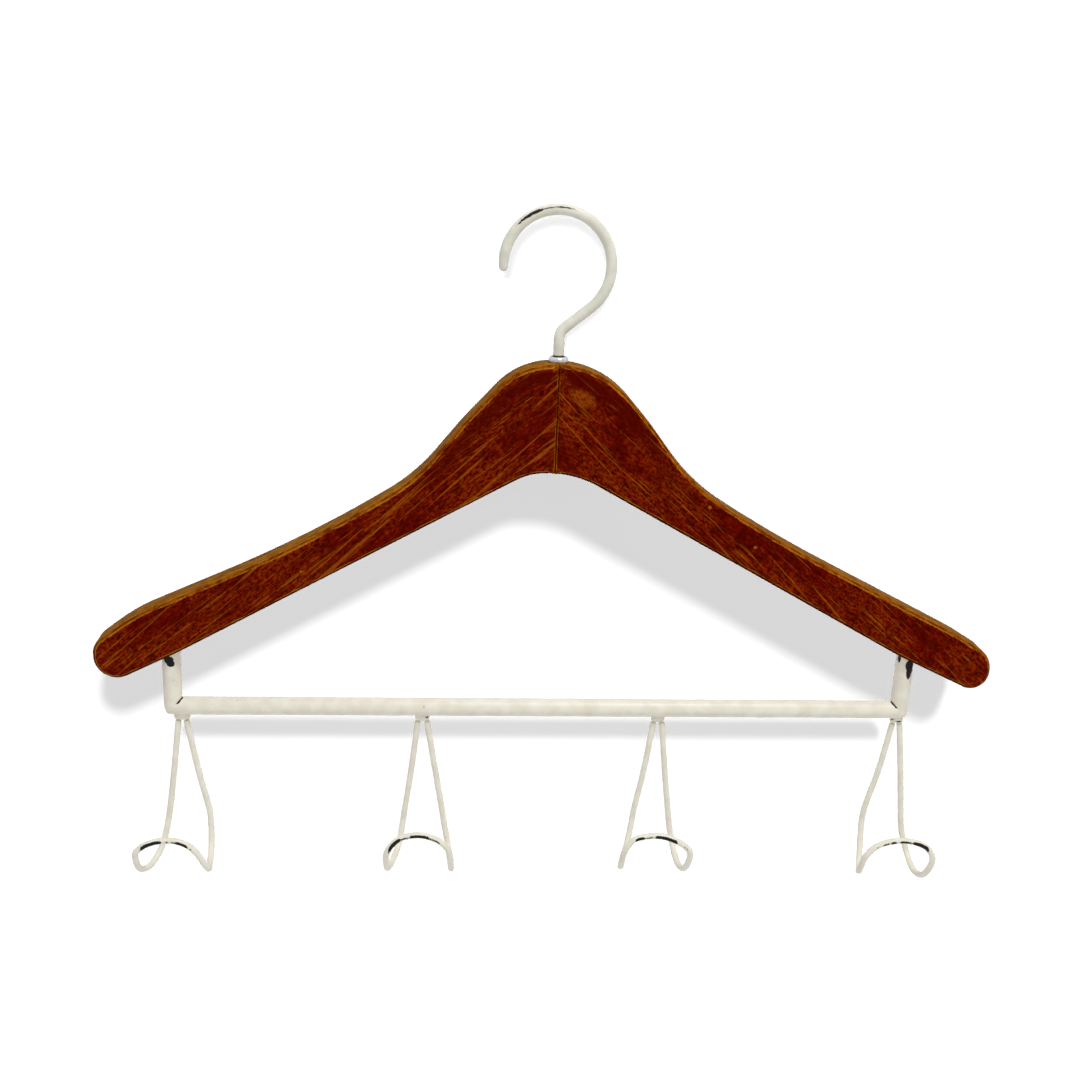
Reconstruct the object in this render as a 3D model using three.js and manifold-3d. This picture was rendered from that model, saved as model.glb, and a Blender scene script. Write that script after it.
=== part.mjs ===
// Hanger-shaped coat rack: two wooden arms mitred at the crown, a swivelling wire hook on top, and a
// welded tube frame below that carries four wire coat hooks.
//
// Millimetres. +Z is up and -Y is the front, where the coat hooks point. The origin is on the swivel
// axis, at the inside crest of the top hook, where a rail or a nail carries the rack. The middle of the
// wood's thickness, the tube frame and the top hook all lie in the plane y = 0.

import * as THREE from "three";
import { mergeVertices } from "three/addons/utils/BufferGeometryUtils.js";
import Module from "manifold-3d";

const wasm = await Module();
wasm.setup();

// ---------------------------------------------------------------- driving dimensions
const GAP = 0.3; // between pieces that touch: a glue line, a paint film or a running fit
const rad = THREE.MathUtils.degToRad;

const wood = {
  thickness: 16,
  chamfer: 1.5, // all round the front and back faces, so the mitre shows as a V-groove
  crownHeight: 51.6, // along the mitre
};
const topHook = {
  wire: 5,
  loopRadius: 24.6, // to the middle of the wire
  loopOffset: -2, // the loop's centre stands this far left of the swivel axis
  tipAngle: 188, // where the open end is, round the loop from +X
  neckAngle: 51, // how steeply the loop runs into the neck
  neckBend: 7,
};
const crownZ = -66.1; // the wood's highest line, below the crest
const ferrule = { bore: 5.8, barrel: 7.4, flange: 9, proud: 2.6, depth: 10 };
const pocket = { top: -18.5, bottom: -26, diameter: 11.6 }; // below the crown, round the locking nut
const washer = { bore: 5.6, diameter: 10, height: 1 };
const nut = { bore: 5.6, acrossFlats: 8, height: 4 };
const dowel = { diameter: 6, length: 30, chamfer: 0.8, drops: [-31, -41.5] };
const tube = { diameter: 9, wall: 1, cornerX: 182, railZ: -240.2, socket: 14 };
const screw = { head: 5.6, shank: 3, length: 9, drop: 7.5, headHeight: 1.8, slot: 0.8 };
const coatHookWire = 3.2;
const weld = { depth: 3.8, height: 3 };
// Each coat hook was bent and welded on by hand: its place along the rail, the width of its weld and the
// points its wire runs through, from one leg round to the other. Each point is [right of the weld, back
// from the frame's plane, up from the rail's middle].
const hooks = [
  {
    x: -178,
    weldWidth: 8.4,
    bends: [
      [2, 0, -7.8],
      [6.8, 0, -35.1],
      [11.5, 0, -57.3],
      [12, 0, -63.5],
      [12.6, -4.5, -74.5],
      [13.3, -15.5, -79],
      [14.1, -26.5, -74.5],
      [9.9, -31, -63.5],
      [7, -31, -60.5],
      [2.4, -31, -57.9],
      [-3.7, -31, -56.9],
      [-10.3, -31, -57.8],
      [-15.1, -31, -59.9],
      [-18.8, -31, -63.5],
      [-18.4, -26.5, -74.5],
      [-15.3, -15.5, -79],
      [-11.7, -4.5, -74.5],
      [-9.2, 0, -63.5],
      [-8.1, 0, -57.3],
      [-5.1, 0, -35.1],
      [-1.9, 0, -7.8],
    ],
  },
  {
    x: -60.4,
    weldWidth: 7.7,
    bends: [
      [2.3, 0, -7.8],
      [6.8, 0, -34.8],
      [10.6, 0, -57.3],
      [11.6, 0, -63.8],
      [13.9, -4.5, -74.8],
      [15.2, -15.5, -79.3],
      [15.3, -26.5, -74.8],
      [14.2, -31, -63.8],
      [12.6, -31, -60.6],
      [8.1, -31, -56.9],
      [1.3, -31, -54.4],
      [-5.5, -31, -54.6],
      [-11.3, -31, -57],
      [-16.1, -31, -63.4],
      [-16.3, -26.5, -74.4],
      [-14.7, -15.5, -78.9],
      [-11.1, -4.5, -74.4],
      [-9.2, 0, -63.4],
      [-8.4, 0, -57.3],
      [-5.3, 0, -34.8],
      [-2.2, 0, -7.8],
    ],
  },
  {
    x: 58.1,
    weldWidth: 7.3,
    bends: [
      [2.2, 0, -7.8],
      [5.4, 0, -34.5],
      [8.5, 0, -57.4],
      [9.5, 0, -64.2],
      [11.4, -4.5, -75.2],
      [12.8, -15.5, -79.7],
      [14.2, -26.5, -75.2],
      [15.2, -31, -64.2],
      [12.1, -31, -60.3],
      [7.1, -31, -57.3],
      [0, -31, -55],
      [-7.5, -31, -55.2],
      [-13.4, -31, -57],
      [-17.4, -31, -62.9],
      [-18.4, -26.5, -73.9],
      [-16.4, -15.5, -78.4],
      [-12.4, -4.5, -73.9],
      [-9.9, 0, -62.9],
      [-9.3, 0, -57.4],
      [-5.4, 0, -34.5],
      [-2.2, 0, -7.8],
    ],
  },
  {
    x: 181.5,
    weldWidth: 7,
    bends: [
      [1.9, 0, -7.8],
      [5.6, 0, -34.2],
      [8.5, 0, -57.4],
      [10.1, 0, -68.4],
      [12.7, -4.5, -79.4],
      [13.5, -15.5, -83.9],
      [14.4, -26.5, -79.4],
      [16, -31, -68.4],
      [12.9, -31, -62.4],
      [7.9, -31, -59.4],
      [-0.5, -31, -57.8],
      [-8.1, -31, -58.7],
      [-14, -31, -61.2],
      [-18.4, -31, -66.1],
      [-19.5, -26.5, -77.1],
      [-15.9, -15.5, -81.6],
      [-12.6, -4.5, -77.1],
      [-11.7, 0, -66.1],
      [-11.3, 0, -57.4],
      [-6.1, 0, -34.2],
      [-1.8, 0, -7.8],
    ],
  },
];

// ---------------------------------------------------------------- materials
const finish = (color, roughness, metalness) =>
  new THREE.MeshStandardMaterial({ color, roughness, metalness });
const stainedWood = finish(0x5a1606, 0.45, 0);
const beech = finish(0xc79a62, 0.7, 0);
const creamPaint = finish(0xe2dcc6, 0.4, 0);
const zinc = finish(0xb9bcbd, 0.35, 1);
const steel = finish(0x8a8a88, 0.4, 1);

// ---------------------------------------------------------------- helpers
const rack = new THREE.Group();

function add(name, geometry, material, parent = rack) {
  const mesh = new THREE.Mesh(geometry, material);
  mesh.name = name;
  parent.add(mesh);
  return mesh;
}

function toSolid(geometry) {
  const bare = geometry.clone();
  bare.deleteAttribute("normal");
  bare.deleteAttribute("uv");
  const merged = mergeVertices(bare, 1e-4);
  return new wasm.Manifold(
    new wasm.Mesh({
      numProp: 3,
      vertProperties: new Float32Array(merged.attributes.position.array),
      triVerts: new Uint32Array(merged.index.array),
    }),
  );
}

function toGeometry(solid) {
  const mesh = solid.getMesh();
  const geometry = new THREE.BufferGeometry();
  geometry.setAttribute("position", new THREE.BufferAttribute(mesh.vertProperties, 3));
  geometry.setIndex(new THREE.BufferAttribute(mesh.triVerts, 1));
  geometry.computeVertexNormals();
  return geometry;
}

// Cuts every geometry in cutters out of geometry.
function cut(geometry, cutters) {
  const whole = toSolid(geometry);
  return toGeometry(cutters.reduce((left, cutter) => left.subtract(toSolid(cutter)), whole));
}

// A round bar between two heights on the Z axis.
function rod(radius, low, high, sides = 24) {
  const bar = new THREE.CylinderGeometry(radius, radius, high - low, sides);
  return bar.rotateX(Math.PI / 2).translate(0, 0, (low + high) / 2);
}

const disc = (radius, sides) =>
  new THREE.Shape(
    Array.from({ length: sides }, (_, i) => {
      const angle = (2 * Math.PI * i) / sides;
      return new THREE.Vector2(radius * Math.cos(angle), radius * Math.sin(angle));
    }),
  );

// A turned piece about the Z axis, from [radius, height] points that close on themselves.
function turned(points, sides = 24) {
  const profile = [...points, points[0]].map(([r, z]) => new THREE.Vector2(r, z));
  return new THREE.LatheGeometry(profile, sides).rotateX(Math.PI / 2);
}

// A path through corners [x, z, radius], each rounded by an arc of its radius.
function roundedPath(path, corners) {
  corners.forEach(([x, z, radius], i) => {
    if (!radius) {
      if (i === 0) path.moveTo(x, z);
      else path.lineTo(x, z);
      return;
    }
    const corner = new THREE.Vector2(x, z);
    const back = new THREE.Vector2(...corners[i - 1]).sub(corner).normalize();
    const on = new THREE.Vector2(...corners[i + 1]).sub(corner).normalize();
    const half = Math.acos(back.dot(on)) / 2;
    const centre = back.clone().add(on).setLength(radius / Math.sin(half)).add(corner);
    const start = corner.clone().addScaledVector(back, radius / Math.tan(half));
    const end = corner.clone().addScaledVector(on, radius / Math.tan(half));
    path.lineTo(start.x, start.y);
    path.absarc(
      centre.x,
      centre.y,
      radius,
      start.sub(centre).angle(),
      end.sub(centre).angle(),
      back.cross(on) > 0,
    );
  });
  return path;
}

// A 3D curve that follows a flat path, placed in space by a function of the flat point.
class PlacedCurve extends THREE.Curve {
  constructor(path, place) {
    super();
    this.path = path;
    this.place = place;
  }
  getPoint(t, target = new THREE.Vector3()) {
    return target.copy(this.place(this.path.getPointAt(t)));
  }
}

const wireAlong = (curve, diameter, sides, steps) =>
  new THREE.ExtrudeGeometry(disc(diameter / 2, sides), { extrudePath: curve, steps });

// ---------------------------------------------------------------- wooden arms
// Each arm's outline as corners [x, z, radius], counted outwards from the mitre and down from its top.
// The arms were shaped by hand, so they differ by a millimetre or two, and the right one is longer.
const armCorners = {
  left: [
    [18.1, -0.8, 35.5], // top of the crown
    [42.8, -27.8, 150],
    [65.6, -55.9, 90], // the neck's hollow
    [116.7, -88, 620], // the slight hollow of the shoulder
    [198.5, -125.2, 93.4],
    [217.4, -139.9, 9], // the end, rounded over
    [217.4, -163.4, 10.7],
    [176.7, -143.2, 150],
    [11.7, -51.8, 29.5], // the arch under the crown
  ],
  right: [
    [21.9, -2.2, 46],
    [44.9, -28.2, 150],
    [67.2, -57.1, 98.3],
    [110, -83.2, 700],
    [205.6, -130.8, 202],
    [224, -142.1, 13],
    [224, -164.4, 8.9],
    [177.2, -142.6, 150],
    [12.2, -52.9, 49],
  ],
};

function armOutline(corners) {
  const mitreTop = [GAP / 2, 0, 0];
  const mitreFoot = [GAP / 2, -wood.crownHeight, 0];
  const points = roundedPath(new THREE.Path(), [mitreTop, ...corners, mitreFoot]).getPoints(6);
  // A line and the arc after it share a point, which is kept once.
  return new THREE.Shape(points.filter((p, i) => i === 0 || p.distanceTo(points[i - 1]) > 0.05));
}

function armBlank(corners) {
  const blank = new THREE.ExtrudeGeometry(armOutline(corners), {
    depth: wood.thickness - 2 * wood.chamfer,
    bevelThickness: wood.chamfer,
    bevelSize: wood.chamfer,
    bevelOffset: -wood.chamfer,
    bevelSegments: 1,
  });
  return blank
    .translate(0, 0, wood.chamfer - wood.thickness / 2)
    .rotateX(Math.PI / 2);
}

// Everything that is bored into the arms, in the arm's own frame.
function armBores(side) {
  const ferruleSeat = rod(ferrule.barrel / 2 + GAP, -ferrule.depth - GAP, 5);
  const stemBore = rod(topHook.wire / 2 + 0.7, pocket.top - 1, 5);
  const nutPocket = rod(pocket.diameter / 2, pocket.bottom, pocket.top);
  const dowelHoles = dowel.drops.map((z) =>
    rod(dowel.diameter / 2 + GAP, -dowel.length / 2 - GAP, dowel.length / 2 + GAP, 16)
      .rotateY(Math.PI / 2)
      .translate(0, 0, z),
  );
  const socketTop = tube.railZ - crownZ + postLength() + GAP;
  const socket = rod(tube.diameter / 2 + GAP, -200, socketTop).translate(side * tube.cornerX, 0, 0);
  const screwHole = screwCutter(GAP).translate(side * tube.cornerX, 0, screwZ() - crownZ);
  return [ferruleSeat, stemBore, nutPocket, ...dowelHoles, socket, screwHole];
}

// The height at which the posts enter the arms.
const undersideZ = crownZ - 145.3;
const postLength = () => undersideZ + tube.socket - tube.railZ;
const screwZ = () => undersideZ + tube.socket - screw.drop;

function makeArms() {
  const arms = new THREE.Group();
  arms.position.z = crownZ;
  rack.add(arms);
  const right = armBlank(armCorners.right);
  // Turning the blank half round about Z makes the left arm; its two faces are alike.
  const left = armBlank(armCorners.left).rotateZ(Math.PI);
  add("arm_right", cut(right, armBores(1)), stainedWood, arms);
  add("arm_left", cut(left, armBores(-1)), stainedWood, arms);
  const half = dowel.length / 2;
  const radius = dowel.diameter / 2;
  const pin = [
    [0, -half],
    [radius - dowel.chamfer, -half],
    [radius, dowel.chamfer - half],
    [radius, half - dowel.chamfer],
    [radius - dowel.chamfer, half],
    [0, half],
  ];
  ["crown_dowel_upper", "crown_dowel_lower"].forEach((name, i) => {
    const mesh = add(name, turned(pin, 16), beech, arms);
    mesh.rotation.y = Math.PI / 2;
    mesh.position.z = dowel.drops[i];
  });
}

// ---------------------------------------------------------------- swivelling top hook
function makeTopHook() {
  const { wire, loopRadius, loopOffset, tipAngle, neckAngle, neckBend } = topHook;
  const loopZ = wire / 2 - loopRadius;
  const neck = rad(neckAngle);
  const leaveX = loopOffset + loopRadius * Math.cos(neck);
  const leaveZ = loopZ - loopRadius * Math.sin(neck);
  // The straight run from the loop meets the swivel axis at this height.
  const meetZ = leaveZ - leaveX / Math.tan(neck);
  const stemEnd = crownZ + pocket.bottom + 1.2;
  const line = new THREE.Path();
  line.absarc(loopOffset, loopZ, loopRadius, rad(tipAngle), -neck, true);
  const bendReach = neckBend * Math.tan(neck / 2);
  line.absarc(neckBend, meetZ - bendReach, neckBend, Math.PI - neck, Math.PI, false);
  line.lineTo(0, stemEnd);
  const centre = new PlacedCurve(line, (p) => new THREE.Vector3(p.x, 0, p.y));
  add("swivel_hook", wireAlong(centre, wire, 12, 72), creamPaint);

  const barrel = ferrule.barrel / 2;
  const flange = ferrule.flange / 2;
  const bore = ferrule.bore / 2;
  const sleeve = turned([
    [bore, -ferrule.depth],
    [barrel, -ferrule.depth],
    [barrel, GAP],
    [flange, GAP],
    [flange, ferrule.proud - 0.9],
    [flange - 0.9, ferrule.proud],
    [bore + 0.3, ferrule.proud],
    [bore, ferrule.proud - 0.4],
  ]);
  add("hook_ferrule", sleeve, zinc).position.z = crownZ;

  const washerTop = crownZ + pocket.top - GAP;
  const ring = turned([
    [washer.bore / 2, -washer.height],
    [washer.diameter / 2, -washer.height],
    [washer.diameter / 2, 0],
    [washer.bore / 2, 0],
  ]);
  add("hook_washer", ring, steel).position.z = washerTop;

  const hexagon = disc(nut.acrossFlats / 2 / Math.cos(Math.PI / 6), 6);
  hexagon.holes.push(disc(nut.bore / 2, 20));
  const nutBlank = new THREE.ExtrudeGeometry(hexagon, { depth: nut.height, bevelEnabled: false });
  add("hook_nut", nutBlank, steel).position.z = washerTop - washer.height - GAP - nut.height;
}

// ---------------------------------------------------------------- tube frame
// A tube along Z from 0 to length. Each end can be cut at 45 degrees, its height growing by slope times x.
function mitredTube(length, lowSlope, highSlope) {
  const section = disc(tube.diameter / 2, 20);
  section.holes.push(disc(tube.diameter / 2 - tube.wall, 20));
  const blank = new THREE.ExtrudeGeometry(section, { depth: length, bevelEnabled: false });
  const points = blank.attributes.position;
  for (let i = 0; i < points.count; i++) {
    const slope = points.getZ(i) < length / 2 ? lowSlope : highSlope;
    points.setZ(i, points.getZ(i) + slope * points.getX(i));
  }
  return blank;
}

// A countersunk screw driven forwards from the back face, with clearance added all round.
function screwCutter(clearance) {
  const head = screw.head / 2 + clearance;
  const shank = screw.shank / 2 + clearance;
  const back = clearance ? 1 : 0;
  return turned(
    [
      [0, -screw.length - clearance],
      [shank, -screw.length - clearance],
      [shank, -screw.headHeight],
      [head, -clearance],
      [head, back],
      [0, back],
    ],
    16,
  )
    .rotateX(-Math.PI / 2)
    .translate(0, wood.thickness / 2 - GAP, 0);
}

function makeFrame() {
  const halfGap = GAP / Math.SQRT2;
  const rail = mitredTube(2 * tube.cornerX - 2 * halfGap, -1, 1);
  const railMesh = add("rail_tube", rail, creamPaint);
  railMesh.rotation.y = Math.PI / 2;
  railMesh.position.set(halfGap - tube.cornerX, 0, tube.railZ);

  [-1, 1].forEach((side) => {
    const name = side < 0 ? "left" : "right";
    const post = mitredTube(postLength() - halfGap, -side, 0).translate(
      side * tube.cornerX,
      0,
      tube.railZ + halfGap,
    );
    const hole = rod(screw.shank / 2 + GAP, 0, tube.diameter, 16)
      .rotateX(-Math.PI / 2)
      .translate(side * tube.cornerX, 0, screwZ());
    add(`post_${name}`, cut(post, [hole]), creamPaint);
    const slots = [0, Math.PI / 2].map((turn) =>
      new THREE.BoxGeometry(screw.head * 0.6, 2, screw.slot)
        .rotateY(turn)
        .translate(0, wood.thickness / 2 - GAP, 0),
    );
    const pin = add(`post_screw_${name}`, cut(screwCutter(0), slots), steel);
    pin.position.set(side * tube.cornerX, 0, screwZ());
  });
}

// ---------------------------------------------------------------- coat hooks
function makeCoatHooks() {
  const railRadius = tube.diameter / 2;
  hooks.forEach((hook, i) => {
    const group = new THREE.Group();
    group.position.set(hook.x, 0, tube.railZ);
    rack.add(group);

    const bead = new THREE.Shape();
    const low = -railRadius - weld.height;
    const side = hook.weldWidth / 2;
    roundedPath(bead, [
      [-side, -2, 0],
      [-side, low, 1.2],
      [side, low, 1.2],
      [side, -2, 0],
    ]);
    bead.closePath();
    const block = new THREE.ExtrudeGeometry(bead, {
      depth: weld.depth,
      bevelEnabled: false,
      curveSegments: 4,
    })
      .translate(0, 0, -weld.depth / 2)
      .rotateX(Math.PI / 2);
    const clearance = rod(railRadius + GAP, -20, 20, 32).rotateY(Math.PI / 2);
    add(`hook_weld_${i + 1}`, cut(block, [clearance]), creamPaint, group);

    const points = hook.bends.map((point) => new THREE.Vector3(...point));
    const curve = new THREE.CatmullRomCurve3(points, false, "centripetal");
    add(`coat_hook_${i + 1}`, wireAlong(curve, coatHookWire, 10, 72), creamPaint, group);
  });
}

makeArms();
makeTopHook();
makeFrame();
makeCoatHooks();

export default rack;
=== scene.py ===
"""Looks for the hanger-shaped coat rack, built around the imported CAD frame.

Lengths are in millimetres until a mesh is made, which turns them into metres. +Z is up, -Y is the front.
"""

import math

import bmesh
import bpy
import numpy as np
from mathutils import Matrix, Vector, geometry, noise


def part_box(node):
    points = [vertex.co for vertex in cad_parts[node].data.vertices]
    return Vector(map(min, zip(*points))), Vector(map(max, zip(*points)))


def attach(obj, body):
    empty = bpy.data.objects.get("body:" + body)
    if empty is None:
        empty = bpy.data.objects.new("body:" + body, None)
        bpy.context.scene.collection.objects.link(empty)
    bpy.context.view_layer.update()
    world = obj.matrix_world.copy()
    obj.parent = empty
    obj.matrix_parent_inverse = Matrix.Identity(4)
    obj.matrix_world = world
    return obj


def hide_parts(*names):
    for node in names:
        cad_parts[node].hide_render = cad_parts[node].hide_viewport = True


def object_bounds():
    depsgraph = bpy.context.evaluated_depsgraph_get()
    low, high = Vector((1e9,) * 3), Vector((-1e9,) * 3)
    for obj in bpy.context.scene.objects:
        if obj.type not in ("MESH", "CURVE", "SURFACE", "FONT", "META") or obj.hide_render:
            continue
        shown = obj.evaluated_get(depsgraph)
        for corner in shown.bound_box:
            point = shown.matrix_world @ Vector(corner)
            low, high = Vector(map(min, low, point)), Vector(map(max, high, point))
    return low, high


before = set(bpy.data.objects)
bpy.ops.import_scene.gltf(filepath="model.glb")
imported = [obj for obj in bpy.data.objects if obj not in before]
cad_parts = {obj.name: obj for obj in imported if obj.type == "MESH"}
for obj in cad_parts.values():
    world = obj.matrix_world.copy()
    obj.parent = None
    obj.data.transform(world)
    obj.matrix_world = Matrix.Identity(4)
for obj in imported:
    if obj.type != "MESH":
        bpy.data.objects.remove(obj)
cad_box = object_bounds()

MM = 0.001
DEG = math.pi / 180


def cad_mm(node):
    """A CAD node's lowest and highest corners in millimetres."""
    low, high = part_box(node)
    return low / MM, high / MM


# ------------------------------------------------------------------ sizes, mostly the CAD part's own
WOOD_THICKNESS = 16
CHAMFER = 1.5
CROWN_HEIGHT = 51.6
MITRE_GAP = 0.06  # the CAD has 0.3, and the bright wall would show through that
MITRE_CHAMFER_SHARE = 0.4  # the edges at the mitre are hardly broken, so the joint's groove stays narrow
CROWN_Z = -66.1
# Each arm's outline as corners (x, z, radius), counted outwards from the mitre and down from its top.
ARM_CORNERS = {
    "arm_left": (
        (18.1, -0.8, 35.5),
        (42.8, -27.8, 150),
        (65.6, -55.9, 90),
        (116.7, -88, 620),
        (198.5, -125.2, 93.4),
        (217.4, -139.9, 9),
        (217.4, -163.4, 10.7),
        (176.7, -143.2, 150),
        (11.7, -51.8, 29.5),
    ),
    "arm_right": (
        (21.9, -2.2, 46),
        (44.9, -28.2, 150),
        (67.2, -57.1, 98.3),
        (110, -83.2, 700),
        (205.6, -130.8, 202),
        (224, -142.1, 13),
        (224, -164.4, 8.9),
        (177.2, -142.6, 150),
        (12.2, -52.9, 49),
    ),
}
NUT_POCKET = (5.8, -18.5, -26)  # radius, top and bottom below the crown
DOWEL_REACH = 15
FERRULE_HOLE = 4  # radius
# The sunk seat of a post screw's head
SEAT_CLEARANCE = 0.35
SEAT_DEPTH = 2.4
SEAT_FOOT_SHARE = 0.55

HOOK_WIRE = 5
LOOP_RADIUS = 24.6
LOOP_OFFSET = -2  # of the loop's centre from the stem
TIP_ANGLE = 188
NECK_ANGLE = 51
NECK_BEND = 7

TUBE = 9
CORNER_X = 182
RAIL_Z = -240.2

COAT_WIRE = 3.2
GAP = 0.3
SLACK = 0.09  # keeps the round coat hooks inside the CAD's many-sided ones
# Each coat hook's place along the rail and the points its wire runs through, from one leg round to the
# other, counted from the rail's middle there.
HOOKS = {
    -178: (
        (2, 0, -7.8), (6.8, 0, -35.1), (11.5, 0, -57.3), (12, 0, -63.5), (12.6, -4.5, -74.5),
        (13.3, -15.5, -79), (14.1, -26.5, -74.5), (9.9, -31, -63.5), (7, -31, -60.5),
        (2.4, -31, -57.9), (-3.7, -31, -56.9), (-10.3, -31, -57.8), (-15.1, -31, -59.9),
        (-18.8, -31, -63.5), (-18.4, -26.5, -74.5), (-15.3, -15.5, -79), (-11.7, -4.5, -74.5),
        (-9.2, 0, -63.5), (-8.1, 0, -57.3), (-5.1, 0, -35.1), (-1.9, 0, -7.8),
    ),
    -60.4: (
        (2.3, 0, -7.8), (6.8, 0, -34.8), (10.6, 0, -57.3), (11.6, 0, -63.8), (13.9, -4.5, -74.8),
        (15.2, -15.5, -79.3), (15.3, -26.5, -74.8), (14.2, -31, -63.8), (12.6, -31, -60.6),
        (8.1, -31, -56.9), (1.3, -31, -54.4), (-5.5, -31, -54.6), (-11.3, -31, -57),
        (-16.1, -31, -63.4), (-16.3, -26.5, -74.4), (-14.7, -15.5, -78.9), (-11.1, -4.5, -74.4),
        (-9.2, 0, -63.4), (-8.4, 0, -57.3), (-5.3, 0, -34.8), (-2.2, 0, -7.8),
    ),
    58.1: (
        (2.2, 0, -7.8), (5.4, 0, -34.5), (8.5, 0, -57.4), (9.5, 0, -64.2), (11.4, -4.5, -75.2),
        (12.8, -15.5, -79.7), (14.2, -26.5, -75.2), (15.2, -31, -64.2), (12.1, -31, -60.3),
        (7.1, -31, -57.3), (0, -31, -55), (-7.5, -31, -55.2), (-13.4, -31, -57),
        (-17.4, -31, -62.9), (-18.4, -26.5, -73.9), (-16.4, -15.5, -78.4), (-12.4, -4.5, -73.9),
        (-9.9, 0, -62.9), (-9.3, 0, -57.4), (-5.4, 0, -34.5), (-2.2, 0, -7.8),
    ),
    181.5: (
        (1.9, 0, -7.8), (5.6, 0, -34.2), (8.5, 0, -57.4), (10.1, 0, -68.4), (12.7, -4.5, -79.4),
        (13.5, -15.5, -83.9), (14.4, -26.5, -79.4), (16, -31, -68.4), (12.9, -31, -62.4),
        (7.9, -31, -59.4), (-0.5, -31, -57.8), (-8.1, -31, -58.7), (-14, -31, -61.2),
        (-18.4, -31, -66.1), (-19.5, -26.5, -77.1), (-15.9, -15.5, -81.6), (-12.6, -4.5, -77.1),
        (-11.7, 0, -66.1), (-11.3, 0, -57.4), (-6.1, 0, -34.2), (-1.8, 0, -7.8),
    ),
}


# ------------------------------------------------------------------ curves
def rounded_path(corners, step=0.5):
    """Points through corners (x, z, radius), each rounded by an arc of its radius."""
    points = []
    for i, (x, z, radius) in enumerate(corners):
        if not radius:
            points.append(Vector((x, z)))
            continue
        corner = Vector((x, z))
        back = (Vector(corners[i - 1][:2]) - corner).normalized()
        on = (Vector(corners[i + 1][:2]) - corner).normalized()
        half = math.acos(max(-1, min(1, back.dot(on)))) / 2
        centre = corner + (back + on).normalized() * (radius / math.sin(half))
        start = corner + back * (radius / math.tan(half)) - centre
        end = corner + on * (radius / math.tan(half)) - centre
        turn = start.angle_signed(end)
        count = max(4, math.ceil(abs(turn) * radius / step))
        for k in range(count + 1):
            spun = start.copy()
            spun.rotate(Matrix.Rotation(-turn * k / count, 2))
            points.append(centre + spun)
    return points


def evenly(points, step):
    """The polyline's points again, at most step apart, with its corners kept."""
    out = [points[0]]
    for a, b in zip(points, points[1:]):
        length = (b - a).length
        if length < 0.02:
            continue
        count = max(1, math.ceil(length / step))
        out += [a.lerp(b, k / count) for k in range(1, count + 1)]
    return out


# ------------------------------------------------------------------ meshes
def make_object(name, verts, faces, attributes, material, smooth_angle=38):
    """A mesh object in metres from millimetre vertices, with float attributes per vertex."""
    mesh = bpy.data.meshes.new(name)
    mesh.from_pydata([tuple(Vector(v) * MM) for v in verts], [], faces)
    for key, values in attributes.items():
        layer = mesh.attributes.new(key, "FLOAT", "POINT")
        layer.data.foreach_set("value", np.array(values, np.float32))
    mesh.validate()
    mesh.update()
    mesh.shade_smooth()
    mesh.set_sharp_from_angle(angle=smooth_angle * DEG)
    mesh.materials.append(material)
    obj = bpy.data.objects.new(name, mesh)
    bpy.context.scene.collection.objects.link(obj)
    return obj


def finish_piece(obj, body, slot, *nodes):
    """Says which body a piece moves with and hides the CAD pieces that it replaces. slot is not used."""
    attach(obj, body)
    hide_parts(*nodes)
    return obj


def loft(rings):
    """Faces between equal rings of vertex numbers."""
    faces = []
    for a, b in zip(rings, rings[1:]):
        n = len(a)
        faces += [(a[k], a[(k + 1) % n], b[(k + 1) % n], b[k]) for k in range(n)]
    return faces


def face_outwards(obj):
    """Turns all of a closed mesh's faces outwards."""
    bm = bmesh.new()
    bm.from_mesh(obj.data)
    bmesh.ops.recalc_face_normals(bm, faces=bm.faces)
    bm.to_mesh(obj.data)
    bm.free()


def wobble(point, size, seed):
    """Smooth noise from -1 to 1 at a millimetre point, with lumps about size across."""
    return noise.noise(Vector(point) / size + Vector((seed * 7.3, seed * 3.1, seed * 5.7)))


def chip_depth(point, spots):
    """How deep inside the nearest worn spot a point is, in millimetres, negative outside all of them."""
    best = -9.0
    for centre, radii in spots:
        offset = Vector(point) - Vector(centre)
        far = Vector((offset.x / radii[0], offset.y / radii[1], offset.z / radii[2])).length
        best = max(best, (1 - far) * min(radii))
    return best


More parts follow.
